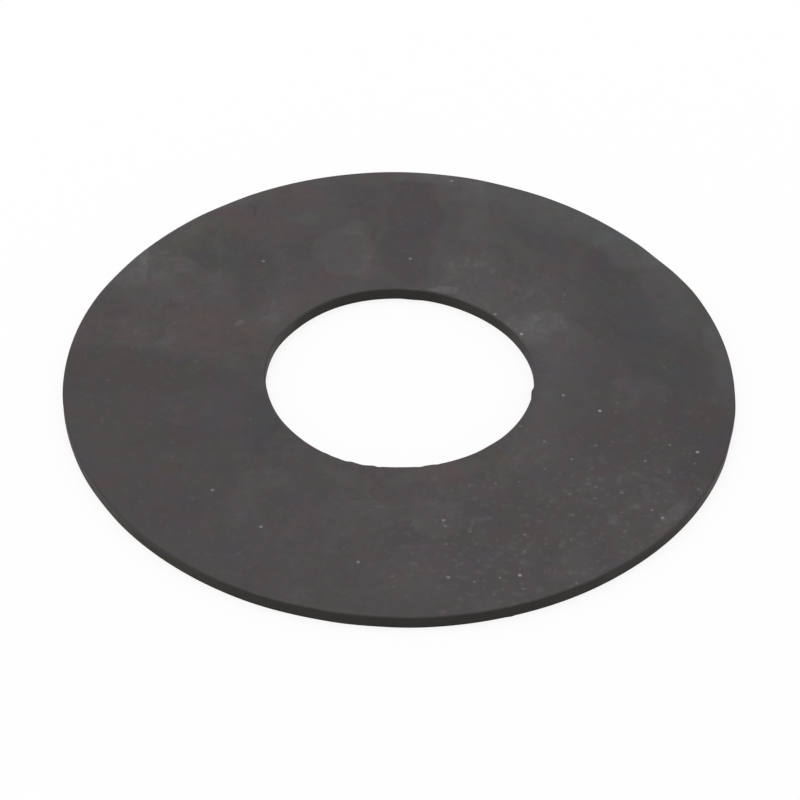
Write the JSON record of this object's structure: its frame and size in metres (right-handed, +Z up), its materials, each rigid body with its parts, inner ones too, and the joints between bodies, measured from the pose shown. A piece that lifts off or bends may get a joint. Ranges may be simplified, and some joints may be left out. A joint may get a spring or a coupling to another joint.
{
  "type": "rubber flange gasket",
  "caption": "Flat ring cut from black rubber sheet, with a round central bore, clamped between two pipe flanges to seal their joint.",
  "frame": {"origin": "centre of the lower face, on the axis of the bore", "axes": "+Z up along the axis of the bore, out of the upper face; X and Y lie in the lower face, and any turn about Z gives the same ring"},
  "size_m": [0.152, 0.152, 0.003],
  "materials": {
    "rubber": "matte calendered sheet with a faint pale bloom, cut edges darker"
  },
  "bodies": {
    "root": {"gasket_ring": "rubber"}
  },
  "joints": []
}
